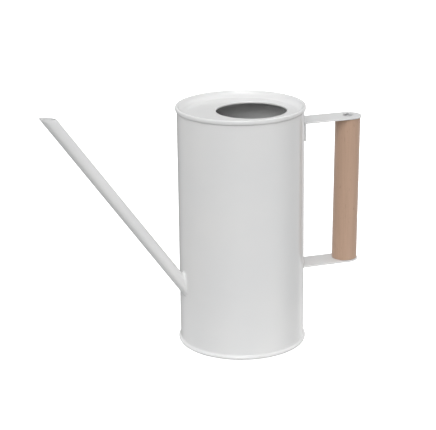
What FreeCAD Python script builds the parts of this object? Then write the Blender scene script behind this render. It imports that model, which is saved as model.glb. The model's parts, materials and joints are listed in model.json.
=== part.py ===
# Watering can: a plain cylindrical sheet-steel tank with a straight tube spout, a dished top with an
# off-centre filling hole, and a wooden dowel grip held between two steel straps.
# Millimetres. +Z is up, +X runs from the tank to the grip, and the spout leans out near -X.
# The origin is the centre of the tank's foot, on the ground.

import FreeCAD
import Part
import os
from math import atan2, cos, degrees, hypot, radians, sin, sqrt

Vector = FreeCAD.Vector
Z_AXIS = Vector(0, 0, 1)

# ---- driving dimensions ----
height = 243.0                 # foot to the crest of the top rim
tank_radius = 62.5             # outside of the rolled shell
sheet = 0.7                    # steel sheet of the shell, the base and the top

foot_radius = 64.5             # widest point of the rolled foot
foot_roll_radius = 1.9
foot_flare_radius = 2.2        # hollow curve from the wall into the foot roll
foot_land = 1.0                # flat ring that stands on the ground
base_rise = 4.0                # ground to the underside of the base panel
base_bend = 1.4                # outside of the bend between the base panel and its skirt
base_flange_reach = 0.5        # base flange past the middle of the foot roll
seam_gap = 0.1                 # between sheets folded into one seam

rim_radius = 64.0              # outside of the top rim
rim_straight = 1.1             # upright side of the rim, below its crest roll
rim_curve_radius = 3.0         # rim's side curves in towards the wall
rim_curve_angle = 45.0
rim_edge_radius = 0.9          # tighter curve of the crimped lower edge
rim_edge_angle = 75.0
dish_depth = 6.0               # crest to the flat of the top panel
dish_curve_radius = 7.5        # hollow curve between the flat and the rim

hole_radius = 34.8             # filling hole, inside its turned-down lip
hole_offset = 11.3             # hole centre, towards the grip
lip_bend_radius = 1.0
lip_straight = 1.0             # straight part of the lip below the bend

spout_radius = 6.25
spout_wall = 0.8
spout_angle = 54.5             # degrees above the ground
spout_turn = 5.0               # degrees about the tank's axis, away from straight opposite the grip
spout_root_height = 64.1       # where the spout axis passes through the wall
spout_tip_height = 250.6       # where the spout axis passes through the tip
spout_tip_slope = 9.0          # degrees; the tip's outer edge is the higher one
spout_reach_in = 3.0           # how far the tube stands inside the wall
spout_weld_radius = 2.0

grip_radius = 12.7
grip_edge_radius = 0.8
grip_bottom_x = 112.1          # the grip leans out slightly towards its top
grip_top_x = 114.0
strap_width = 27.5
strap_thickness = 1.5
upper_strap_top = 222.4
lower_strap_top = 72.1
flange_drop = 19.0             # upper strap's top face to the end of its turned-down flange
flange_bend_radius = 1.0       # inside of the bend
flange_weld_width = 4.5        # weld along each upright edge of the flange
flange_weld_margin = 0.5       # weld's ends, short of the flange's ends
strap_weld_radius = 1.2        # fillet above and below the lower strap

base_seal_radius = 0.6         # beads of compound inside the rolled seams
top_seal_radius = 0.4

screw_head_radius = 5.0
screw_head_height = 2.2
screw_head_rim = 0.6           # upright edge of the head, below its dome
screw_shank_radius = 2.0
screw_length = 28.0            # under the head
screw_tip_length = 6.0
screw_tip_radius = 0.2
pilot_margin = 2.0             # pilot hole past the screw's tip
screw_clearance = 0.1          # radial, in the strap and in the grip
recess_depth = 1.4             # cross recess in the screw head
recess_width = 1.1
recess_length = 5.6

overrun = 25.0                 # cutting shapes run this far past what they cut
tolerance = 0.05


# ---- helpers ----
def point(radius, z):
    return Vector(radius, 0, z)


def line(start, end):
    return Part.makeLine(point(*start), point(*end))


def arc(centre, radius, start_angle, end_angle):
    """Arc in the XZ plane; angles in degrees from +X towards +Z."""
    middle = (start_angle + end_angle) / 2
    through = [
        point(centre[0] + radius * cos(radians(angle)), centre[1] + radius * sin(radians(angle)))
        for angle in (start_angle, middle, end_angle)
    ]
    return Part.Arc(*through).toShape()


def polar(centre, radius, angle):
    return (centre[0] + radius * cos(radians(angle)), centre[1] + radius * sin(radians(angle)))


def turned(face):
    """Solid of revolution about the tank's axis."""
    return face.revolve(Vector(0, 0, 0), Z_AXIS, 360)


def turned_sheet(edges, side):
    """Sheet of even thickness turned about the tank's axis; side says where the thickness goes."""
    outline = Part.Wire(edges).makeOffset2D(side * sheet, 0, True, True)
    return turned(outline.Faces[0])


def upright(radius, bottom, top, x=0.0):
    return Part.makeCylinder(radius, top - bottom, Vector(x, 0, bottom), Z_AXIS)


def box(x_range, y_half, z_range):
    return Part.makeBox(
        x_range[1] - x_range[0],
        2 * y_half,
        z_range[1] - z_range[0],
        Vector(x_range[0], -y_half, z_range[0]),
    )


def runs_on_wall(edge):
    """True for a level or curved edge that lies on the outside of the tank's wall."""
    return edge.Length < tank_radius and all(
        abs(hypot(p.x, p.y) - tank_radius) < tolerance for p in edge.discretize(9)
    )


def save(name, shape):
    solids = shape.Solids
    assert solids and all(solid.isValid() for solid in solids), name
    kept = solids[0] if len(solids) == 1 else Part.makeCompound(solids)
    kept.exportStep("parts/" + name + ".step")
    print(name, len(solids), "solid(s)", round(shape.Volume), "mm3")


# ---- derived places ----
inner_radius = tank_radius - sheet

foot_roll_centre = (foot_radius - foot_roll_radius, foot_roll_radius)
flare_centre_x = tank_radius + foot_flare_radius
flare_centre_gap = foot_flare_radius + foot_roll_radius
flare_centre = (
    flare_centre_x,
    foot_roll_radius + sqrt(flare_centre_gap ** 2 - (flare_centre_x - foot_roll_centre[0]) ** 2),
)
flare_angle = degrees(
    atan2(flare_centre[1] - foot_roll_centre[1], flare_centre[0] - foot_roll_centre[0])
)

panel_radius = inner_radius - seam_gap         # base and top panels slide into the shell
rim_roll_radius = (rim_radius - (panel_radius - sheet)) / 2
rim_roll_centre = (rim_radius - rim_roll_radius, height - rim_roll_radius)
panel_top = height - dish_depth
dish_curve_z = panel_top + dish_curve_radius
dish_curve_gap = dish_curve_radius + rim_roll_radius
dish_curve_x = rim_roll_centre[0] - sqrt(
    dish_curve_gap ** 2 - (dish_curve_z - rim_roll_centre[1]) ** 2
)
dish_curve_centre = (dish_curve_x, dish_curve_z)
dish_angle = degrees(
    atan2(rim_roll_centre[1] - dish_curve_z, rim_roll_centre[0] - dish_curve_x)
)
rim_curve_centre = (rim_radius - rim_curve_radius, rim_roll_centre[1] - rim_straight)
rim_edge_centre = (
    rim_curve_centre[0] + (rim_curve_radius - rim_edge_radius) * cos(radians(rim_curve_angle)),
    rim_curve_centre[1] - (rim_curve_radius - rim_edge_radius) * sin(radians(rim_curve_angle)),
)
hem_radius = rim_radius - sheet - 2 * seam_gap     # shell's folded hem, inside the rim
hem_top = rim_roll_centre[1] - seam_gap
hem_bottom = rim_curve_centre[1] - 5 * seam_gap
base_flange_bottom = sheet + 2 * seam_gap
base_flange_radius = foot_roll_centre[0] + base_flange_reach
base_seal_z = base_flange_bottom + sheet + seam_gap + base_seal_radius
top_seal_z = hem_top + seam_gap / 2 + top_seal_radius

spout_outwards = Vector(-cos(radians(spout_turn)), -sin(radians(spout_turn)), 0)
spout_sideways = Z_AXIS.cross(spout_outwards)
spout_direction = spout_outwards * cos(radians(spout_angle)) + Z_AXIS * sin(radians(spout_angle))
spout_root = spout_outwards * tank_radius + Z_AXIS * spout_root_height
spout_length = (spout_tip_height - spout_root_height) / sin(radians(spout_angle))
spout_tip = spout_root + spout_direction * spout_length

upper_strap_bottom = upper_strap_top - strap_thickness
lower_strap_bottom = lower_strap_top - strap_thickness


def spout_rod(radius, before, after):
    """Solid rod on the spout's axis, running past the root and the tip."""
    start = spout_root - spout_direction * before
    return Part.makeCylinder(radius, before + spout_length + after, start, spout_direction)


# ---- tank ----
def body_shell():
    """Rolled wall with a folded hem at the top and a rolled foot that holds the base."""
    roll_x, roll_z = foot_roll_centre
    wall = turned_sheet(
        [
            line((tank_radius, hem_bottom), (tank_radius, flare_centre[1])),
            arc(flare_centre, foot_flare_radius, 180, 180 + flare_angle),
            arc(foot_roll_centre, foot_roll_radius, flare_angle, -90),
            line((roll_x, 0), (roll_x - foot_land, 0)),
        ],
        -1,
    )
    hem_half = (hem_radius - inner_radius) / 2
    hem_centre = (inner_radius + hem_half, hem_top - hem_half)
    hem_outline = Part.Wire(
        [
            line((inner_radius, hem_bottom), (inner_radius, hem_centre[1])),
            arc(hem_centre, hem_half, 180, 0),
            line((hem_radius, hem_centre[1]), (hem_radius, hem_bottom)),
            line((hem_radius, hem_bottom), (inner_radius, hem_bottom)),
        ]
    )
    shell = wall.fuse(turned(Part.Face(hem_outline)))
    return shell.cut(spout_rod(spout_radius, overrun, 0)).removeSplitter()


def base_plate():
    """Pressed pan: a raised disc on a short skirt, flanged into the rolled foot."""
    disc_top = base_rise + sheet
    disc_radius = panel_radius - base_bend
    flange_top = base_flange_bottom + sheet
    edges = [
        line((0, disc_top), (disc_radius, disc_top)),
        arc((disc_radius, disc_top - base_bend), base_bend, 90, 0),
        line((panel_radius, disc_top - base_bend), (panel_radius, flange_top)),
        line((panel_radius, flange_top), (base_flange_radius, flange_top)),
    ]
    outline = Part.Wire(edges).makeOffset2D(-sheet, 2, True, True)
    return turned(outline.Faces[0])


def top_plate():
    """Dished panel whose rim hooks over the shell, with a lipped filling hole."""
    flat_edge = dish_curve_x
    plate = turned_sheet(
        [
            line((0, panel_top), (flat_edge, panel_top)),
            arc(dish_curve_centre, dish_curve_radius, -90, dish_angle),
            arc(rim_roll_centre, rim_roll_radius, 180 + dish_angle, 0),
            line((rim_radius, rim_roll_centre[1]), (rim_radius, rim_curve_centre[1])),
            arc(rim_curve_centre, rim_curve_radius, 0, -rim_curve_angle),
            arc(rim_edge_centre, rim_edge_radius, -rim_curve_angle, -rim_edge_angle),
        ],
        -1,
    )
    hole = upright(hole_radius + lip_bend_radius, panel_top - overrun, height, hole_offset)
    return plate.cut(hole).fuse(filling_lip()).removeSplitter()


def filling_lip():
    """Turned-down edge of the filling hole."""
    bend_centre = (hole_radius + lip_bend_radius, panel_top - lip_bend_radius)
    lip_bottom = bend_centre[1] - lip_straight
    edges = [
        arc(bend_centre, lip_bend_radius, 90, 180),
        line((hole_radius, bend_centre[1]), (hole_radius, lip_bottom)),
    ]
    outline = Part.Wire(edges).makeOffset2D(sheet, 0, True, True)
    lip = turned(outline.Faces[0])
    lip.translate(Vector(hole_offset, 0, 0))
    return lip


def seam_sealant(radius, z, bead_radius):
    """Sealing compound squeezed into a closed seam."""
    return Part.makeTorus(radius, bead_radius, Vector(0, 0, z), Z_AXIS)


# ---- spout ----
def spout_tube():
    """Straight tube, cut to the wall's curve inside the tank and nearly level at the tip."""
    tube = spout_rod(spout_radius, overrun, overrun).cut(
        spout_rod(spout_radius - spout_wall, 2 * overrun, 2 * overrun)
    )
    inside_tank = upright(tank_radius - spout_reach_in, 0, height)
    beyond_tip = Part.makeBox(
        4 * overrun, 4 * overrun, 2 * overrun, Vector(-2 * overrun, -2 * overrun, 0)
    )
    beyond_tip.rotate(Vector(0, 0, 0), spout_sideways, -spout_tip_slope)
    beyond_tip.translate(spout_tip)
    return tube.cut(inside_tank).cut(beyond_tip)


def spout_weld():
    """Fillet of weld metal around the joint between the spout and the wall."""
    tank = upright(tank_radius, 0, height / 2)
    start = spout_root - spout_direction * overrun
    joined = tank.fuse(Part.makeCylinder(spout_radius, 2 * overrun, start, spout_direction))
    joined = joined.removeSplitter()
    seam = [edge for edge in joined.Edges if runs_on_wall(edge) and edge.BoundBox.XMax < 0]
    filled = joined.makeFillet(spout_weld_radius, seam)
    return filled.cut(joined)


# ---- handle ----
def strap_outline(grip_x, bottom, start_x):
    """Flat strap with a round end centred over the grip."""
    half = strap_width / 2
    top = bottom + strap_thickness
    return box((start_x, grip_x), half, (bottom, top)).fuse(upright(half, bottom, top, grip_x))


def screw_hole(grip_x, bottom):
    radius = screw_shank_radius + screw_clearance
    return upright(radius, bottom - 1, bottom + strap_thickness + 1, grip_x)


def upper_bracket():
    """Strap with a flange turned down against the wall."""
    outer_bend = flange_bend_radius + strap_thickness
    bend_centre = (tank_radius + outer_bend, upper_strap_top - outer_bend)
    flange_end = upper_strap_top - flange_drop
    flange_face = tank_radius + strap_thickness
    profile = Part.Wire(
        [
            line((tank_radius, flange_end), (tank_radius, bend_centre[1])),
            arc(bend_centre, outer_bend, 180, 90),
            line((bend_centre[0], upper_strap_top), (bend_centre[0], upper_strap_bottom)),
            arc(bend_centre, flange_bend_radius, 90, 180),
            line((flange_face, bend_centre[1]), (flange_face, flange_end)),
            line((flange_face, flange_end), (tank_radius, flange_end)),
        ]
    )
    bend = Part.Face(profile).extrude(Vector(0, strap_width, 0))
    bend.translate(Vector(0, -strap_width / 2, 0))
    strap = strap_outline(grip_top_x, upper_strap_bottom, bend_centre[0])
    bracket = strap.fuse(bend).cut(screw_hole(grip_top_x, upper_strap_bottom))
    return bracket.removeSplitter()


def lower_bracket():
    """Strap whose end is cut to the wall's curve and welded on edge."""
    strap = strap_outline(grip_bottom_x, lower_strap_bottom, 0)
    strap = strap.cut(upright(tank_radius, 0, height))
    return strap.cut(screw_hole(grip_bottom_x, lower_strap_bottom)).removeSplitter()


def upper_bracket_weld():
    """Weld metal filling the wedge between the flat flange and the round wall, at both edges."""
    half = strap_width / 2
    bottom = upper_strap_top - flange_drop + flange_weld_margin
    top = upper_strap_bottom - flange_bend_radius - flange_weld_margin
    filled = box((0, tank_radius), half, (bottom, top))
    middle = box((0, tank_radius), half - flange_weld_width, (bottom, top))
    return filled.cut(middle).cut(upright(tank_radius, 0, height))


def lower_bracket_weld():
    """Fillets of weld metal above and below the end of the lower strap."""
    tank = upright(tank_radius, 0, height / 2)
    strap = strap_outline(grip_bottom_x, lower_strap_bottom, 0)
    joined = tank.fuse(strap).removeSplitter()
    strap_faces = (lower_strap_bottom, lower_strap_top)
    seam = [
        edge
        for edge in joined.Edges
        if runs_on_wall(edge)
        and edge.BoundBox.ZLength < tolerance
        and min(abs(edge.BoundBox.ZMin - z) for z in strap_faces) < tolerance
    ]
    filled = joined.makeFillet(strap_weld_radius, seam)
    return filled.cut(joined)


def grip_axis():
    lean = Vector(grip_top_x - grip_bottom_x, 0, upper_strap_bottom - lower_strap_top)
    return lean.normalize()


def grip():
    """Wooden dowel between the straps, with eased ends and two pilot holes."""
    length = upper_strap_bottom - lower_strap_top
    axis = grip_axis()
    start = Vector(grip_bottom_x, 0, lower_strap_top) - axis * overrun
    dowel = Part.makeCylinder(grip_radius, length + 2 * overrun, start, axis)
    block = box((0, 2 * grip_top_x), 2 * grip_radius, (lower_strap_top, upper_strap_bottom))
    dowel = dowel.common(block)
    rims = [edge for edge in dowel.Edges if edge.BoundBox.ZLength < tolerance]
    dowel = dowel.makeFillet(grip_edge_radius, rims)
    pilot_radius = screw_shank_radius + screw_clearance
    pilot_depth = screw_length - strap_thickness + pilot_margin
    for x, bottom in (
        (grip_top_x, upper_strap_bottom - pilot_depth),
        (grip_bottom_x, lower_strap_top),
    ):
        dowel = dowel.cut(upright(pilot_radius, bottom, bottom + pilot_depth, x))
    return dowel


def screw():
    """Cross-head wood screw, head up, with the underside of its head at the origin."""
    dome_rise = screw_head_height - screw_head_rim
    dome_radius = (screw_head_radius ** 2 + dome_rise ** 2) / (2 * dome_rise)
    head = Part.makeCylinder(screw_head_radius, screw_head_height).common(
        Part.makeSphere(dome_radius, Vector(0, 0, screw_head_height - dome_radius))
    )
    shank_length = screw_length - screw_tip_length
    shank = Part.makeCylinder(screw_shank_radius, shank_length, Vector(0, 0, -shank_length))
    tip = Part.makeCone(
        screw_tip_radius, screw_shank_radius, screw_tip_length, Vector(0, 0, -screw_length)
    )
    body = head.fuse([shank, tip]).removeSplitter()
    for along_x in (True, False):
        size_x = recess_length if along_x else recess_width
        size_y = recess_width if along_x else recess_length
        corner = Vector(-size_x / 2, -size_y / 2, screw_head_height - recess_depth)
        body = body.cut(Part.makeBox(size_x, size_y, screw_head_height, corner))
    return body


def placed_screw(x, z, upside_down):
    piece = screw()
    if upside_down:
        piece.rotate(Vector(0, 0, 0), Vector(1, 0, 0), 180)
    piece.translate(Vector(x, 0, z))
    return piece


def main():
    os.makedirs("parts", exist_ok=True)
    save("body_shell", body_shell())
    save("base_plate", base_plate())
    save("top_plate", top_plate())
    save("base_seam_sealant", seam_sealant(foot_roll_centre[0], base_seal_z, base_seal_radius))
    save("top_seam_sealant", seam_sealant(rim_roll_centre[0], top_seal_z, top_seal_radius))
    save("spout_tube", spout_tube())
    save("spout_weld", spout_weld())
    save("upper_bracket", upper_bracket())
    save("upper_bracket_weld", upper_bracket_weld())
    save("lower_bracket", lower_bracket())
    save("lower_bracket_weld", lower_bracket_weld())
    save("grip", grip())
    save("upper_screw", placed_screw(grip_top_x, upper_strap_top, False))
    save("lower_screw", placed_screw(grip_bottom_x, lower_strap_bottom, True))


main()
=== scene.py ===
import json
from math import acos, asin, atan2, cos, degrees, exp, pi, radians, sin, sqrt, tan

import bmesh
import bpy
from mathutils import Matrix, Vector, noise


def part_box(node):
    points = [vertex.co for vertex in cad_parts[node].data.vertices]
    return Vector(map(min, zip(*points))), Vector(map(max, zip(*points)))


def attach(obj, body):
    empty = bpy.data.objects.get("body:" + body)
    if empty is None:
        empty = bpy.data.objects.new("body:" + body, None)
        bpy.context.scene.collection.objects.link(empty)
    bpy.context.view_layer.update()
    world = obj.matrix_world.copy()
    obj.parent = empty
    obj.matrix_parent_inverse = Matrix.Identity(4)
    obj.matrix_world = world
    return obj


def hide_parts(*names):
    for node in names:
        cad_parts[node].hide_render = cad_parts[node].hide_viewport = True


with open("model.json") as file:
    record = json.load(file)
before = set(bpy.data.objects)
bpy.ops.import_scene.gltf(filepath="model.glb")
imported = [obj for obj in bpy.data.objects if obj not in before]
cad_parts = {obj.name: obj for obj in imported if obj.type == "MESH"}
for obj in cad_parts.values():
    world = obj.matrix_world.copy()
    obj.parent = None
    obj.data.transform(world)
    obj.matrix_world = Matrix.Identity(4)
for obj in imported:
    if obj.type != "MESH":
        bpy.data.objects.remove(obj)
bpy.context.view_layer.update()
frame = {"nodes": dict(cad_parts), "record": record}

# Looks of the watering can. Shapes are worked out in millimetres and made in metres.
MM = 0.001


def box_mm(node):
    low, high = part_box(node)
    return low / MM, high / MM


# ---- places from the frame ----
shell_high = box_mm("body_shell")[1]
base_low, base_high = box_mm("base_plate")
top_low, top_high = box_mm("top_plate")
spout_low, spout_high = box_mm("spout_tube")
upper_low, upper_high = box_mm("upper_bracket")
lower_low, lower_high = box_mm("lower_bracket")
grip_low, grip_high = box_mm("grip")

wall_radius = upper_low.x
foot_radius = min(shell_high.x, shell_high.y)
rim_radius = min(top_high.x, top_high.y)
crest = top_high.z
grip_radius = grip_high.y
grip_bottom_x = grip_low.x + grip_radius
grip_top_x = grip_high.x - grip_radius
strap_half = upper_high.y
filling_hole = next(m for m in frame["record"]["mounts"] if m["name"] == "fill_opening")
hole_x = filling_hole["pos_m"][0] / MM
hole_radius = filling_hole["dims"]["r_mm"]

# ---- small sizes ----
SHEET = 0.7
FOOT_ROLL = 1.9
FOOT_FLARE = 2.2
FOOT_LAND = 1.0
BASE_BEND = 1.4
RIM_STRAIGHT = 1.1              # upright side of the rim, below its crest roll
RIM_CURVE = 3.0                 # then it curves in towards the wall
RIM_EDGE = 0.9                  # and ends in a tighter, crimped curve
RIM_TURN = 45                   # degrees where the tighter curve takes over
RIM_END = 68                    # and where the sheet's rounded edge begins
SEAM_GAP = 0.1                  # between sheets folded into one seam
DISH_DEPTH = 6.0
DISH_CURVE = 7.5
LIP_BEND = 1.0
STRAP = 1.5
STRAP_EDGE = 0.32
FLANGE_BEND = 2.5
FLANGE_WELD = 4.5
SPOUT_RADIUS = 6.25
SPOUT_WALL = 0.8
SPOUT_ANGLE = radians(54.5)     # above the ground
SPOUT_TURN = radians(5.0)       # about the tank's axis, away from straight opposite the grip
SPOUT_TIP_SLOPE = radians(9.0)
SPOUT_REACH_IN = 3.0
SPOUT_WELD = 1.95
WELD_ROOT = 0.3                 # weld metal goes this far into the sheets it joins
GRIP_EASE = 0.8
HOLE_CLEARANCE = 2.1
AXIS_GAP = 0.01                 # rings never shrink to a point
AROUND = 224                    # steps around the tank


# ---- mesh helpers ----
def arc(centre, radius, start, end, steps):
    """Points of an arc, angles in degrees from the first axis towards the second."""
    points = []
    for i in range(steps + 1):
        angle = radians(start + (end - start) * i / steps)
        points.append((centre[0] + radius * cos(angle), centre[1] + radius * sin(angle)))
    return points


def polar(centre, radius, angle):
    return arc(centre, radius, angle, angle, 1)[0]


def between(start, end, steps):
    """Points on a straight line, without its two ends."""
    return [
        tuple(a + (b - a) * i / steps for a, b in zip(start, end))
        for i in range(1, steps)
    ]


def face_outwards(mesh):
    """Turns every face of a closed mesh to the outside."""
    work = bmesh.new()
    work.from_mesh(mesh)
    bmesh.ops.recalc_face_normals(work, faces=work.faces)
    work.to_mesh(mesh)
    work.free()


def make_object(name, points, faces, sharp_degrees=40, closed=True):
    mesh = bpy.data.meshes.new(name)
    mesh.from_pydata([Vector(p) * MM for p in points], [], faces)
    mesh.validate()
    if closed:
        face_outwards(mesh)
    mesh.shade_smooth()
    piece = bpy.data.objects.new(name, mesh)
    bpy.context.scene.collection.objects.link(piece)
    if sharp_degrees:
        mesh.set_sharp_from_angle(angle=radians(sharp_degrees))
    return piece


def loft(name, rings, closed_section=True, caps=False, sharp_degrees=40):
    """Skin over rings of equal length. A closed section joins the last ring to the first."""
    count = len(rings[0])
    points = [p for ring in rings for p in ring]
    pairs = [(i, i + 1) for i in range(len(rings) - 1)]
    if closed_section:
        pairs.append((len(rings) - 1, 0))
    faces = []
    for a, b in pairs:
        for k in range(count):
            n = (k + 1) % count
            faces.append((a * count + k, a * count + n, b * count + n, b * count + k))
    if caps:
        faces.append(tuple(reversed(range(count))))
        last = (len(rings) - 1) * count
        faces.append(tuple(range(last, last + count)))
    return make_object(name, points, faces, sharp_degrees)


def circle(centre_x, radius, z, steps=AROUND, lift=None):
    """Ring about a vertical axis at centre_x; lift(angle) shifts each point up or down."""
    ring = []
    for k in range(steps):
        angle = 2 * pi * k / steps
        rise = lift(angle) if lift else 0
        ring.append((centre_x + radius * cos(angle), radius * sin(angle), z + rise))
    return ring


def bake_modifiers(piece):
    """Replaces the piece's mesh with what its modifiers make of it."""
    graph = bpy.context.evaluated_depsgraph_get()
    made = bpy.data.meshes.new_from_object(piece.evaluated_get(graph))
    piece.modifiers.clear()
    piece.data = made
    return piece


def give(piece, node, material):
    """Hands a finished piece to the frame in place of its CAD node."""
    piece.data.materials.clear()
    piece.data.materials.append(material)
    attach(piece, "root")
    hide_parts(node)
    return piece


# ---- material helpers ----
class Nodes:
    """Short way to build a node material."""

    def __init__(self, name):
        self.material = bpy.data.materials.new(name)
        self.material.use_nodes = True
        self.tree = self.material.node_tree
        self.shader = self.tree.nodes["Principled BSDF"]
        self.place = self.node("ShaderNodeTexCoord").outputs["Object"]

    def node(self, kind, **settings):
        made = self.tree.nodes.new(kind)
        for key, value in settings.items():
            setattr(made, key, value)
        return made

    def link(self, source, target):
        self.tree.links.new(source, target)

    def stretched(self, scale, turn=(0, 0, 0)):
        mapping = self.node("ShaderNodeMapping")
        mapping.inputs["Scale"].default_value = scale
        mapping.inputs["Rotation"].default_value = turn
        self.link(self.place, mapping.inputs["Vector"])
        return mapping.outputs["Vector"]

    def noise(self, scale, detail=2.0, rough=0.5, place=None, distort=0.0):
        made = self.node("ShaderNodeTexNoise")
        made.inputs["Scale"].default_value = scale
        made.inputs["Detail"].default_value = detail
        made.inputs["Roughness"].default_value = rough
        made.inputs["Distortion"].default_value = distort
        self.link(place or self.place, made.inputs["Vector"])
        return made.outputs["Fac"]

    def ramp(self, source, *stops):
        """Colour ramp; each stop is (position, grey level or colour)."""
        made = self.node("ShaderNodeValToRGB")
        elements = made.color_ramp.elements
        while len(elements) < len(stops):
            elements.new(0.5)
        for element, (position, value) in zip(elements, stops):
            element.position = position
            colour = value if isinstance(value, tuple) else (value, value, value)
            element.color = (*colour, 1)
        self.link(source, made.inputs["Fac"])
        return made.outputs["Color"]

    def mix(self, factor, first, second, blend="MIX"):
        made = self.node("ShaderNodeMix", data_type="RGBA", blend_type=blend)
        for socket, value in ((made.inputs[0], factor), (made.inputs[6], first), (made.inputs[7], second)):
            if isinstance(value, bpy.types.NodeSocket):
                self.link(value, socket)
            elif isinstance(value, tuple):
                socket.default_value = (*value, 1)
            else:
                socket.default_value = value
        return made.outputs[2]

    def math(self, operation, first, second):
        made = self.node("ShaderNodeMath", operation=operation)
        for socket, value in zip(made.inputs, (first, second)):
            if isinstance(value, bpy.types.NodeSocket):
                self.link(value, socket)
            else:
                socket.default_value = value
        return made.outputs[0]

    def worn(self, colour, bare, amount):
        """Base colour with patchy wear along the piece's outer edges, where bare shows through."""
        sharpness = self.node("ShaderNodeNewGeometry").outputs["Pointiness"]
        edge = self.ramp(sharpness, (0.53, 0.0), (0.62, 1.0))
        patches = self.ramp(self.noise(260, 3), (0.48, 0.0), (0.62, amount))
        worn = self.mix(self.math("MULTIPLY", edge, patches), colour, bare)
        self.link(worn, self.shader.inputs["Base Color"])

    def bump(self, *layers):
        """Bump from (height, metres) layers, one on another."""
        normal = None
        for height, distance in layers:
            made = self.node("ShaderNodeBump")
            made.inputs["Strength"].default_value = 1.0
            made.inputs["Distance"].default_value = distance
            self.link(height, made.inputs["Height"])
            if normal:
                self.link(normal, made.inputs["Normal"])
            normal = made.outputs["Normal"]
        self.link(normal, self.shader.inputs["Normal"])

    def set(self, **values):
        for key, value in values.items():
            self.shader.inputs[key.replace("_", " ")].default_value = value


# ---- materials ----
def white_powder_coat():
    """Satin white paint: faint orange peel, fine grain, a slight warm and cool drift, dust nibs."""
    m = Nodes("white_powder_coat")
    drift = m.ramp(m.noise(14, 3), (0.35, (0.775, 0.780, 0.782)), (0.65, (0.800, 0.800, 0.796)))
    specks = m.node("ShaderNodeTexVoronoi")
    specks.inputs["Scale"].default_value = 70
    m.link(m.place, specks.inputs["Vector"])
    speck_here = m.ramp(specks.outputs["Distance"], (0.018, 1.0), (0.03, 0.0))
    few = m.ramp(m.noise(23, 1), (0.62, 0.0), (0.66, 0.5))
    coat = m.mix(m.math("MULTIPLY", speck_here, few), drift, (0.45, 0.44, 0.43))
    m.worn(coat, (0.52, 0.51, 0.50), 0.5)
    m.link(m.ramp(m.noise(900, 3), (0.3, 0.15), (0.7, 0.21)), m.shader.inputs["Roughness"])
    m.bump((m.noise(420, 2), 0.000010), (m.noise(2600, 2), 0.000002))
    m.set(IOR=1.5)
    return m.material


def beech():
    """Plain beech: fine straight grain along the dowel, short dark flecks, broad paler patches."""
    m = Nodes("beech")
    lean = atan2(grip_top_x - grip_bottom_x, grip_high.z - grip_low.z)
    long_grain = m.stretched((1, 1, 0.045), (0, -lean, 0))
    fleck_grain = m.stretched((1, 1, 0.16), (0, -lean, 0))
    broad = m.noise(55, 4, 0.55, long_grain, 0.6)
    fine = m.noise(620, 3, 0.6, long_grain)
    base = m.ramp(
        broad,
        (0.30, (0.520, 0.350, 0.252)),
        (0.50, (0.545, 0.365, 0.262)),
        (0.70, (0.575, 0.392, 0.288)),
    )
    streaks = m.ramp(fine, (0.38, 0.95), (0.62, 1.0))
    flecks = m.ramp(m.noise(900, 2, 0.5, fleck_grain), (0.66, 0.0), (0.74, 0.35))
    grained = m.mix(1.0, base, streaks, "MULTIPLY")
    m.worn(m.mix(flecks, grained, (0.23, 0.135, 0.085)), (0.36, 0.24, 0.17), 0.6)
    m.link(m.ramp(fine, (0.3, 0.52), (0.7, 0.42)), m.shader.inputs["Roughness"])
    m.bump((fine, 0.00004), (m.noise(900, 2, 0.5, fleck_grain), 0.00002))
    m.set(Sheen_Weight=0.25, Sheen_Roughness=0.4)
    return m.material


def zinc_plated_steel():
    """Screw steel: dull grey plating with fine turning marks."""
    m = Nodes("zinc_plated_steel")
    marks = m.noise(1800, 3, 0.6, m.stretched((1, 1, 0.2)))
    plating = m.ramp(marks, (0.3, (0.50, 0.50, 0.51)), (0.7, (0.70, 0.70, 0.70)))
    m.worn(plating, (0.34, 0.33, 0.32), 0.6)
    m.link(m.ramp(marks, (0.3, 0.24), (0.7, 0.38)), m.shader.inputs["Roughness"])
    m.bump((marks, 0.000008))
    m.set(Metallic=1.0)
    return m.material


def seam_compound():
    """Matt grey rubbery compound in the seams."""
    m = Nodes("seam_compound")
    m.worn(m.ramp(m.noise(400, 3), (0.3, 0.13), (0.7, 0.17)), (0.22, 0.22, 0.22), 0.5)
    m.link(m.ramp(m.noise(600, 2), (0.3, 0.70), (0.7, 0.80)), m.shader.inputs["Roughness"])
    m.bump((m.noise(900, 2), 0.00003))
    return m.material


def studio_floor():
    m = Nodes("studio_floor")
    m.link(m.ramp(m.noise(3, 2), (0.3, 0.93), (0.7, 0.95)), m.shader.inputs["Base Color"])
    m.set(Roughness=0.9, Specular_IOR_Level=0.0, Emission_Color=(1, 1, 1, 1), Emission_Strength=0.6)
    return m.material


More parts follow.
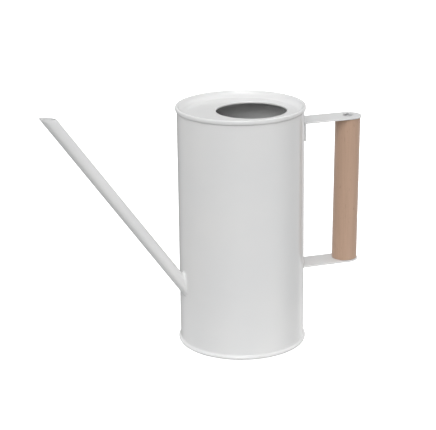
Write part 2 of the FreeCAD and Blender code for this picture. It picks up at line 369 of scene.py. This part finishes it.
# ---- tank ----
def tank_wall(paint):
    """Rolled wall with a hem under the rim and a rolled, flared foot."""
    inner = wall_radius - SHEET
    roll = (foot_radius - FOOT_ROLL, FOOT_ROLL)
    gap = FOOT_FLARE + FOOT_ROLL
    flare_x = wall_radius + FOOT_FLARE
    flare = (flare_x, FOOT_ROLL + sqrt(gap ** 2 - (flare_x - roll[0]) ** 2))
    turn = degrees(atan2(flare[1] - roll[1], flare[0] - roll[0]))
    hem_radius = rim_radius - SHEET - 2 * SEAM_GAP
    hem_half = (hem_radius - inner) / 2
    hem_top = shell_high.z
    hem_bottom = hem_top - RIM_STRAIGHT - 4 * SEAM_GAP
    section = [(wall_radius, hem_bottom)]
    section += between((wall_radius, hem_bottom), (wall_radius, flare[1]), 96)
    section += arc(flare, FOOT_FLARE, 180, 180 + turn, 8)
    section += arc(roll, FOOT_ROLL, turn, -90, 18)[1:]
    section += [(roll[0] - FOOT_LAND + 0.2, 0), (roll[0] - FOOT_LAND, 0.2), (roll[0] - FOOT_LAND, SHEET)]
    section += arc(roll, FOOT_ROLL - SHEET, -90, turn, 14)
    section += arc(flare, FOOT_FLARE + SHEET, 180 + turn, 180, 8)[1:]
    section += between((inner, flare[1]), (inner, hem_top - hem_half), 96)
    section += arc((inner + hem_half, hem_top - hem_half), hem_half, 180, 0, 10)
    section += [(hem_radius, hem_bottom)]
    uneven_from, uneven_to = 12, 225        # the foot and the hem stay true
    dent_depth = 0.05
    rings = []
    for radius, z in section:
        ring = []
        for k in range(AROUND):
            angle = 2 * pi * k / AROUND
            place = Vector((cos(angle), sin(angle), z / 60))
            dent = dent_depth * noise.noise(place * 1.6) if uneven_from < z < uneven_to else 0
            reach = radius + dent
            ring.append((reach * cos(angle), reach * sin(angle), z))
        rings.append(ring)
    wall = loft("tank_wall", rings)
    cutter = spout_rod("spout_cutter", SPOUT_RADIUS, 20, 25)
    hole = wall.modifiers.new("spout hole", "BOOLEAN")
    hole.object = cutter
    hole.operation = "DIFFERENCE"
    hole.solver = "EXACT"
    bake_modifiers(wall)
    bpy.data.objects.remove(cutter)
    return give(wall, "body_shell", paint)


def base_panel(paint):
    """Pressed pan that closes the foot."""
    top = base_high.z
    skirt = wall_radius - SHEET - SEAM_GAP
    flange_top = base_low.z + SHEET
    flange_radius = base_high.x
    bend = (skirt - BASE_BEND, top - BASE_BEND)
    section = [(AXIS_GAP, top)]
    section += between((AXIS_GAP, top), (bend[0], top), 12)
    section += arc(bend, BASE_BEND, 90, 0, 8)
    section += [(skirt, flange_top), (flange_radius, flange_top), (flange_radius, base_low.z)]
    section += [(skirt - SHEET, base_low.z)]
    section += arc(bend, BASE_BEND - SHEET, 0, 90, 8)
    section += between((bend[0], top - SHEET), (AXIS_GAP, top - SHEET), 12)
    section += [(AXIS_GAP, top - SHEET)]
    pan = loft("base_panel", [circle(0, radius, z) for radius, z in section], closed_section=False)
    return give(pan, "base_plate", paint)


def rim_scallop(angle):
    """The crimped lower edge of the rim is not quite even."""
    place = Vector((cos(angle), sin(angle), 0.5))
    waves = 0.30 * noise.noise(place * 9)
    ripples = 0.14 * noise.noise(place * 21)
    return waves + ripples


def top_panel(paint):
    """Dished panel: off-centre hole with a turned-down lip, hollow curve, rolled rim over the wall."""
    flat = crest - DISH_DEPTH
    skirt_inside = wall_radius - SHEET - SEAM_GAP
    roll_radius = (rim_radius - (skirt_inside - SHEET)) / 2
    roll = (rim_radius - roll_radius, crest - roll_radius)
    curve_z = flat + DISH_CURVE
    curve_gap = DISH_CURVE + roll_radius
    curve_x = roll[0] - sqrt(curve_gap ** 2 - (curve_z - roll[1]) ** 2)
    turn = degrees(atan2(roll[1] - curve_z, roll[0] - curve_x))
    curve = (rim_radius - RIM_CURVE, roll[1] - RIM_STRAIGHT)
    edge = polar(curve, RIM_CURVE - RIM_EDGE, -RIM_TURN)
    lip = (hole_radius + LIP_BEND, flat - LIP_BEND)
    lip_bottom = top_low.z

    def flat_rings(z, outwards):
        steps = 16
        rings = []
        for i in range(1, steps):
            share = i / steps if outwards else 1 - i / steps
            rings.append(circle(hole_x * (1 - share), lip[0] + (curve_x - lip[0]) * share, z))
        return rings

    upper_lip = [(hole_radius, lip_bottom + 0.2), (hole_radius, lip_bottom + 0.9)]
    upper_lip += arc(lip, LIP_BEND, 180, 90, 14)
    rings = [circle(hole_x, radius, z) for radius, z in upper_lip]
    rings += flat_rings(flat, True)
    dish = arc((curve_x, curve_z), DISH_CURVE, -90, turn, 18)
    dish += arc(roll, roll_radius, 180 + turn, 0, 22)[1:]
    rings += [circle(0, radius, z) for radius, z in dish]
    skirt = arc(curve, RIM_CURVE, 0, -RIM_TURN, 10)
    skirt += arc(edge, RIM_EDGE, -RIM_TURN, -RIM_END, 4)[1:]
    # the sheet's own edge is rounded: how deep into the sheet, and at which angle
    for back, angle in ((0.07, -73), (0.2, -75), (0.5, -75), (0.63, -73)):
        skirt.append(polar(edge, RIM_EDGE - back, angle))
    skirt += arc(edge, RIM_EDGE - SHEET, -RIM_END, -RIM_TURN, 3)
    skirt += arc(curve, RIM_CURVE - SHEET, -RIM_TURN, 0, 8)[1:]
    for radius, z in skirt:
        share = min(1, (curve[1] - z) / (RIM_CURVE - RIM_EDGE))
        rings.append(circle(0, radius, z, lift=lambda angle: share * rim_scallop(angle)))
    under = arc(roll, roll_radius - SHEET, 0, 180 + turn, 14)
    under += arc((curve_x, curve_z), DISH_CURVE + SHEET, turn, -90, 12)[1:]
    rings += [circle(0, radius, z) for radius, z in under]
    rings += flat_rings(flat - SHEET, False)
    lower_lip = arc(lip, LIP_BEND - SHEET, 90, 180, 8)
    lower_lip += [(hole_radius + SHEET, lip_bottom + 0.2), (hole_radius + SHEET - 0.2, lip_bottom)]
    lower_lip += [(hole_radius + 0.2, lip_bottom)]
    rings += [circle(hole_x, radius, z) for radius, z in lower_lip]
    panel = loft("top_panel", rings)
    return give(panel, "top_plate", paint)


# ---- spout ----
UP = Vector((0, 0, 1))
OUTWARDS = Vector((-cos(SPOUT_TURN), -sin(SPOUT_TURN), 0))
ALONG = OUTWARDS * cos(SPOUT_ANGLE) + UP * sin(SPOUT_ANGLE)
UPPER_SIDE = UP * cos(SPOUT_ANGLE) - OUTWARDS * sin(SPOUT_ANGLE)
SIDEWAYS = ALONG.cross(UPPER_SIDE)
TIP_NORMAL = UP * cos(SPOUT_TIP_SLOPE) - OUTWARDS * sin(SPOUT_TIP_SLOPE)


def spout_tip():
    """Where the spout's axis passes through the plane of its cut end."""
    outer_edge = OUTWARDS * (-spout_low.x / cos(SPOUT_TURN)) + UP * spout_high.z
    stretch = 1 / tan(SPOUT_ANGLE - SPOUT_TIP_SLOPE)
    return outer_edge - (ALONG * stretch - UPPER_SIDE) * SPOUT_RADIUS


def around_spout(angle):
    """Unit vector square to the spout's axis; angle 0 is its upper side."""
    return UPPER_SIDE * cos(angle) + SIDEWAYS * sin(angle)


def length_to_wall(start, radius):
    """Signed distance along the spout from start to the round wall of the given radius."""
    a = ALONG.x ** 2 + ALONG.y ** 2
    b = start.x * ALONG.x + start.y * ALONG.y
    c = start.x ** 2 + start.y ** 2 - radius ** 2
    return (sqrt(b * b - a * c) - b) / a


def spout_rod(name, radius, inside, outside):
    """Closed rod on the spout's axis through the wall, used as a cutter."""
    tip = spout_tip()
    root = length_to_wall(tip, wall_radius)
    steps = 96
    rings = []
    for reach in (-inside, outside):
        middle = tip + ALONG * (root + reach)
        rings.append([middle + around_spout(2 * pi * k / steps) * radius for k in range(steps)])
    return loft(name, rings, closed_section=False, caps=True)


def spout(paint):
    """Thin straight tube, cut to the wall inside the tank and nearly level at the tip."""
    tip = spout_tip()
    inner = SPOUT_RADIUS - SPOUT_WALL
    root_radius = wall_radius - SPOUT_REACH_IN
    edge = 0.22
    corner = 0.07                   # halfway round the eased edge of the tip
    around = 96
    rows = 64

    def ring(radius, share, back=0.0):
        made = []
        for k in range(around):
            start = tip + around_spout(2 * pi * k / around) * radius
            low = length_to_wall(start, root_radius)
            high = (tip - start).dot(TIP_NORMAL) / ALONG.dot(TIP_NORMAL) - back
            made.append(start + ALONG * (low + (high - low) * share))
        return made

    rings = [ring(SPOUT_RADIUS, i / rows, edge) for i in range(rows + 1)]
    rings.append(ring(SPOUT_RADIUS - corner, 1, edge * 0.3))
    rings.append(ring(SPOUT_RADIUS - edge, 1))
    rings.append(ring(inner + edge, 1))
    rings.append(ring(inner + corner, 1, edge * 0.3))
    rings += [ring(inner, 1 - i / rows, edge) for i in range(rows + 1)]
    return give(loft("spout", rings, sharp_degrees=60), "spout_tube", paint)


def weld_bead(paint):
    """Rolling fillet from the spout onto the wall, slightly uneven, widest in the sharp corner."""
    tip = spout_tip()
    around = 120
    across = 12
    rings = [[] for _ in range(across + 4)]
    for k in range(around):
        angle = 2 * pi * k / around
        tube_normal = around_spout(angle)
        start = tip + tube_normal * SPOUT_RADIUS
        corner = start + ALONG * length_to_wall(start, wall_radius)
        wall_normal = Vector((corner.x, corner.y, 0)).normalized()
        half_corner = (pi - acos(tube_normal.dot(wall_normal))) / 2
        uneven = 1 + 0.12 * noise.noise(Vector((2.4 * cos(angle), 2.4 * sin(angle), 3.1)))
        leg = SPOUT_WELD / tan(half_corner) * uneven
        on_tube = corner + ALONG * leg
        outward = (tube_normal - wall_normal * tube_normal.dot(wall_normal)).normalized()
        turn = leg * outward.dot(UP.cross(wall_normal)) / wall_radius
        level = Vector((wall_normal.x, wall_normal.y, 0)) * wall_radius
        on_wall = Matrix.Rotation(turn, 3, "Z") @ level + UP * (corner.z + leg * outward.z)
        weight = sin(half_corner)
        for i in range(across + 1):
            t = i / across
            parts = ((1 - t) ** 2, 2 * t * (1 - t) * weight, t ** 2)
            place = on_tube * parts[0] + corner * parts[1] + on_wall * parts[2]
            rings[i].append(place / sum(parts))
        rings[across + 1].append(on_wall - wall_normal * WELD_ROOT)
        rings[across + 2].append(corner - (wall_normal + tube_normal) * WELD_ROOT)
        rings[across + 3].append(on_tube - tube_normal * WELD_ROOT)
    return give(loft("spout_fillet", rings), "spout_weld", paint)


# ---- handle ----
def strap_sheet(grip_x, start_x, columns):
    """Grid of (x, y) for a strap's top face: round end with a screw hole, then straight columns.
    start_x(y) is where the strap begins; columns are shares of the way from the round end to there."""
    around = 72
    hole_rings = 8
    points = []
    faces = []
    for i in range(hole_rings + 1):
        share = i / hole_rings
        for k in range(around):
            angle = 2 * pi * k / around
            c, s = cos(angle), sin(angle)
            outer = strap_half if c >= 0 else strap_half / max(abs(c), abs(s))
            reach = HOLE_CLEARANCE + (outer - HOLE_CLEARANCE) * share
            points.append((grip_x + reach * c, reach * s))
    for i in range(hole_rings):
        for k in range(around):
            n = (k + 1) % around
            a, b = i * around, (i + 1) * around
            faces.append((a + k, b + k, b + n, a + n))
    first = hole_rings * around
    edge = [first + k for k in range(around * 3 // 8, around * 5 // 8 + 1)]
    previous = edge
    left = grip_x - strap_half
    for share in columns:
        made = []
        for index in edge:
            y = points[index][1]
            made.append(len(points))
            points.append((left + (start_x(y) - left) * share, y))
        for a, b, c, d in zip(previous, previous[1:], made[1:], made):
            faces.append((a, d, c, b))
        previous = made
    return points, faces


def strap_piece(name, points, faces):
    """Thickens a strap's top face downwards and eases its edges."""
    piece = make_object(name, points, faces, sharp_degrees=0, closed=False)
    solid = piece.modifiers.new("thickness", "SOLIDIFY")
    solid.thickness = STRAP * MM
    solid.offset = -1
    solid.use_even_offset = True
    eased = piece.modifiers.new("eased edges", "BEVEL")
    eased.width = STRAP_EDGE * MM
    eased.segments = 3
    eased.limit_method = "ANGLE"
    eased.angle_limit = radians(50)
    bake_modifiers(piece)
    piece.data.shade_smooth()
    piece.data.set_sharp_from_angle(angle=radians(50))
    return piece


def upper_strap(paint):
    """Strap bent down into a flat flange against the wall."""
    top = upper_high.z
    bend_start = wall_radius + FLANGE_BEND
    bend_length = FLANGE_BEND * pi / 2
    flange_length = top - upper_low.z - FLANGE_BEND
    left = grip_top_x - strap_half
    end = bend_start - bend_length - flange_length
    flat_columns = [i / 10 * (left - bend_start) for i in range(1, 11)]
    bend_columns = [left - bend_start + bend_length * i / 10 for i in range(1, 11)]
    flange_columns = [left - bend_start + bend_length + flange_length * i / 6 for i in range(1, 7)]
    shares = [length / (left - end) for length in flat_columns + bend_columns + flange_columns]
    points, faces = strap_sheet(grip_top_x, lambda y: end, shares)

    def folded(x, y):
        past = bend_start - x
        if past <= 0:
            return (x, y, top)
        if past < bend_length:
            angle = past / FLANGE_BEND
            return (bend_start - FLANGE_BEND * sin(angle), y, top - FLANGE_BEND * (1 - cos(angle)))
        return (wall_radius, y, top - FLANGE_BEND - (past - bend_length))

    piece = strap_piece("upper_strap", [folded(x, y) for x, y in points], faces)
    return give(piece, "upper_bracket", paint)


def lower_strap(paint):
    """Flat strap whose end follows the wall."""
    shares = [i / 12 for i in range(1, 13)]
    points, faces = strap_sheet(grip_bottom_x, lambda y: sqrt(wall_radius ** 2 - y * y), shares)
    piece = strap_piece("lower_strap", [(x, y, lower_high.z) for x, y in points], faces)
    return give(piece, "lower_bracket", paint)


def bead_along(name, node, sections, paint):
    """Closed bars of weld metal; each item of sections is a list of closed outlines."""
    points = []
    faces = []
    for outlines in sections:
        count = len(outlines[0])
        base = len(points)
        for outline in outlines:
            points += outline
        for i in range(len(outlines) - 1):
            a, b = base + i * count, base + (i + 1) * count
            for k in range(count):
                n = (k + 1) % count
                faces.append((a + k, a + n, b + n, b + k))
        faces.append(tuple(reversed(range(base, base + count))))
        faces.append(tuple(range(len(points) - count, len(points))))
    return give(make_object(name, points, faces, 50), node, paint)


def flange_welds(paint):
    """Weld metal in the wedge between the flat flange and the wall, at both upright edges."""
    low, high = box_mm("upper_bracket_weld")
    rows = 24
    inset = 0.35                    # from the strap's edge to the weld's
    hollow = 0.25
    sections = []
    for side in (-1, 1):
        outlines = []
        for i in range(rows + 1):
            z = low.z + (high.z - low.z) * i / rows
            ripple = 0.12 * noise.noise(Vector((side * 5, 0, z * 0.9)))
            outer = strap_half - inset + ripple
            inner = strap_half - FLANGE_WELD
            face = wall_radius
            outline = []
            for share in (0, 0.5, 1):
                y = inner + (outer - inner) * share
                outline.append((face, side * y, z))
            middle = (face + sqrt(wall_radius ** 2 - outer ** 2)) / 2
            outline.append((middle, side * (outer - hollow), z))
            for share in (1, 0.5, 0):
                y = inner + (outer - inner) * share
                outline.append((sqrt(wall_radius ** 2 - y * y), side * y, z))
            outlines.append(outline if side > 0 else outline[::-1])
        sections.append(outlines)
    return bead_along("flange_welds", "upper_bracket_weld", sections, paint)


def strap_fillets(paint):
    """Fillets above and below the lower strap, along the wall."""
    leg = 1.15
    inset = 0.3
    steps = 32
    across = 6
    sections = []
    for face_z, up in ((lower_high.z, 1), (lower_low.z, -1)):
        outlines = []
        for i in range(steps + 1):
            y = (strap_half - inset) * (2 * i / steps - 1)
            size = leg * (1 + 0.10 * noise.noise(Vector((y * 0.5, up * 4, 0))))
            turn = asin(y / wall_radius)
            outline = []
            for step in range(across + 1):
                t = step / across
                reach = size * (1 - t) ** 2
                rise = size * t ** 2
                radius = wall_radius + reach
                outline.append((radius * cos(turn), radius * sin(turn), face_z + up * rise))
            outline.append((wall_radius * cos(turn), wall_radius * sin(turn), face_z))
            outlines.append(outline if up > 0 else outline[::-1])
        sections.append(outlines)
    return bead_along("strap_fillets", "lower_bracket_weld", sections, paint)


def dowel(wood):
    """Turned dowel that leans out slightly, with eased ends and faint tool marks."""
    low, high = grip_low.z, grip_high.z
    end_rings = (3, 6, 9)
    around = 96
    marks_beyond = 12               # only the dowel's side has tool marks
    mark_depth = 0.04
    section = [(AXIS_GAP, low)]
    section += [(radius, low) for radius in end_rings]
    section += arc((grip_radius - GRIP_EASE, low + GRIP_EASE), GRIP_EASE, -90, 0, 6)
    section += between((grip_radius, low + GRIP_EASE), (grip_radius, high - GRIP_EASE), 72)
    section += arc((grip_radius - GRIP_EASE, high - GRIP_EASE), GRIP_EASE, 0, 90, 6)
    section += [(radius, high) for radius in reversed(end_rings)]
    section += [(AXIS_GAP, high)]
    rings = []
    for radius, z in section:
        share = (z - low) / (high - low)
        centre = grip_bottom_x + (grip_top_x - grip_bottom_x) * share
        ring = []
        for k in range(around):
            angle = 2 * pi * k / around
            place = Vector((cos(angle) * 2, sin(angle) * 2, z / 30))
            mark = mark_depth + mark_depth * noise.noise(place) if radius > marks_beyond else 0
            reach = radius - mark
            ring.append((centre + reach * cos(angle), reach * sin(angle), z))
        rings.append(ring)
    return give(loft("dowel_grip", rings, closed_section=False), "grip", wood)


def cross_screw(name, node, steel):
    """Pan-head wood screw with a tapered cross recess and a thread on its shank."""
    low, high = box_mm(node)
    head_up = node == "upper_screw"
    x = (low.x + high.x) / 2
    head_radius = high.y
    head_height = 2.16
    seat = high.z - head_height if head_up else low.z + head_height
    shank_length = (high.z - low.z) - head_height
    around = 128
    side_height = 0.7
    rise = head_height - side_height
    sphere = (head_radius ** 2 + rise ** 2) / (2 * rise)
    head_edge = 0.30
    head_rings = 72
    recess_turn = 0.35
    slot_reach, slot_end = 2.9, 3.0
    side_slope, end_slope = 0.24, 0.5

    def recess(px, py):
        """Depth of the cross: two slots that narrow and rise towards their ends."""
        deepest = 0
        for along, across in ((px, py), (py, px)):
            taper = max(0, 1 - abs(along) / slot_reach)
            half_width = 0.50 + 0.10 * taper
            side = min(1, max(0, (half_width + side_slope / 2 - abs(across)) / side_slope))
            end = min(1, max(0, (slot_end - abs(along)) / end_slope))
            deepest = max(deepest, (0.5 + 0.7 * taper) * side * end)
        return deepest

    rings = []
    for i in range(head_rings + 1):
        radius = 0.02 + (head_radius - head_edge) * i / head_rings
        ring = []
        for k in range(around):
            angle = 2 * pi * k / around
            px, py = radius * cos(angle + recess_turn), radius * sin(angle + recess_turn)
            dome = head_height - (sphere - sqrt(sphere ** 2 - radius ** 2))
            ring.append((radius * cos(angle), radius * sin(angle), dome - recess(px, py)))
        rings.append(ring)
    shoulder = rings[-1][0][2]
    skirt = arc((head_radius - head_edge, shoulder - head_edge), head_edge, 90, 0, 6)[1:]
    skirt += [(head_radius, 0.12), (head_radius - 0.12, 0), (2.0, 0)]
    rings += [[(r * cos(2 * pi * k / around), r * sin(2 * pi * k / around), z) for k in range(around)]
              for r, z in skirt]
    pitch, thread_height, half_crest = 1.8, 0.5, 0.22
    core_radius, plain_step, plain_length = 1.45, 0.45, 4
    point_length, blunt = 6, 0.06
    steps = 225
    for i in range(1, steps):
        z = -shank_length * i / steps
        ring = []
        left = 1 if z > -shank_length + point_length else (z + shank_length) / point_length
        for k in range(around):
            angle = 2 * pi * k / around
            phase = (z / pitch - angle / (2 * pi)) % 1.0
            crest_here = max(0, 1 - abs(phase - 0.5) / half_crest)
            step = thread_height * crest_here if z < -plain_length else plain_step
            radius = (core_radius + step) * max(left, blunt)
            ring.append((radius * cos(angle), radius * sin(angle), z))
        rings.append(ring)
    flip = 1 if head_up else -1
    rings = [[(x + px, flip * py, seat + flip * pz) for px, py, pz in ring] for ring in rings]
    piece = loft(name, rings, closed_section=False, caps=True, sharp_degrees=50)
    return give(piece, node, steel)


# ---- studio ----
CAMERA_AZIMUTH = -19.07
WIDE = 9.0                      # how fast a glow fades away from its middle
NARROW = 25.0
# Azimuth from the camera's side towards the grip, elevation, strength, fading.
# These are rounded results of a solver that fitted the can's brightness to the photograph,
# not lights set by hand.
GLOWS = (
    (0, 50, 4.9, NARROW),       # in front and above
    (0, 36, 3.3, NARROW),
    (-30, 50, 1.5, NARROW),
    (60, 50, 1.0, NARROW),
    (120, 50, 1.5, WIDE),       # beside and behind
    (216, 20, 1.15, WIDE),
    (288, 20, 1.3, WIDE),
    (144, -8, 1.25, WIDE),
    (0, -35, 0.7, WIDE),        # from below
    (60, -35, 1.4, WIDE),
    (240, -35, 0.8, WIDE),
)


def studio_world():
    """Soft glows all round, each fading away from its own direction."""
    world = bpy.data.worlds.new("studio")
    world.use_nodes = True
    tree = world.node_tree
    direction = tree.nodes.new("ShaderNodeTexCoord").outputs["Generated"]

    def calculate(operation, first, second):
        made = tree.nodes.new("ShaderNodeMath")
        made.operation = operation
        for socket, value in zip(made.inputs, (first, second)):
            if isinstance(value, bpy.types.NodeSocket):
                tree.links.new(value, socket)
            else:
                socket.default_value = value
        return made.outputs[0]

    total = 0.0
    for turn, elevation, strength, fading in GLOWS:
        a, e = radians(CAMERA_AZIMUTH + turn), radians(elevation)
        towards = tree.nodes.new("ShaderNodeVectorMath")
        towards.operation = "DOT_PRODUCT"
        tree.links.new(direction, towards.inputs[0])
        towards.inputs[1].default_value = (sin(a) * cos(e), -cos(a) * cos(e), sin(e))
        away = calculate("SUBTRACT", towards.outputs["Value"], 1.0)
        glow = calculate("MULTIPLY", calculate("POWER", exp(fading), away), strength)
        total = calculate("ADD", total, glow)
    tree.links.new(total, tree.nodes["Background"].inputs["Color"])
    return world


def table_bounce():
    """Faint disk light on the table, facing up. Its power comes from the same solver as GLOWS."""
    light = bpy.data.lights.new("table_bounce", "AREA")
    light.shape = "DISK"
    light.size = 0.30
    light.energy = 0.035
    holder = bpy.data.objects.new("table_bounce", light)
    holder.location = (0, 0, 0.0005)
    holder.rotation_euler = (pi, 0, 0)
    holder.visible_camera = False
    bpy.context.scene.collection.objects.link(holder)


def studio():
    """Plain white table, bright enough to hide the can's shadow. It sends no light to the can."""
    scene = bpy.context.scene
    scene.view_settings.view_transform = "Standard"
    scene.world = studio_world()
    flat, curve, top = 6000, 3000, 9000
    profile = [(AXIS_GAP, 0)] + arc((flat, curve), curve, -90, 0, 16) + [(flat + curve, top)]
    rings = [circle(0, radius, z, steps=64) for radius, z in profile]
    floor = loft("studio_floor_sheet", rings, closed_section=False)
    floor.data.materials.append(studio_floor())
    floor.visible_diffuse = False
    floor.visible_glossy = False
    floor.visible_shadow = False
    table_bounce()


def camera():
    """Camera beside the can, a little towards the spout, fitted to the photograph's outlines."""
    away, height = 1403.2, 585.6
    yaw, pitch, roll = 0.948, 17.985, -0.712
    data = bpy.data.cameras.new("camera")
    data.lens = 121.8
    data.clip_start, data.clip_end = 0.01, 100
    holder = bpy.data.objects.new("camera", data)
    side = radians(CAMERA_AZIMUTH)
    place = Vector((away * sin(side), -away * cos(side), height)) * MM
    turned = (
        Matrix.Rotation(radians(CAMERA_AZIMUTH + yaw), 4, "Z")
        @ Matrix.Rotation(radians(90 - pitch), 4, "X")
        @ Matrix.Rotation(radians(roll), 4, "Z")
    )
    holder.matrix_world = Matrix.Translation(place) @ turned
    bpy.context.scene.collection.objects.link(holder)
    bpy.context.scene.camera = holder


def main():
    paint = white_powder_coat()
    steel = zinc_plated_steel()
    camera()
    studio()
    tank_wall(paint)
    base_panel(paint)
    top_panel(paint)
    spout(paint)
    weld_bead(paint)
    upper_strap(paint)
    flange_welds(paint)
    lower_strap(paint)
    strap_fillets(paint)
    dowel(beech())
    cross_screw("top_screw", "upper_screw", steel)
    cross_screw("bottom_screw", "lower_screw", steel)
    compound = seam_compound()
    for node in ("base_seam_sealant", "top_seam_sealant"):
        sealant = frame["nodes"][node]
        sealant.data.materials.clear()
        sealant.data.materials.append(compound)


main()
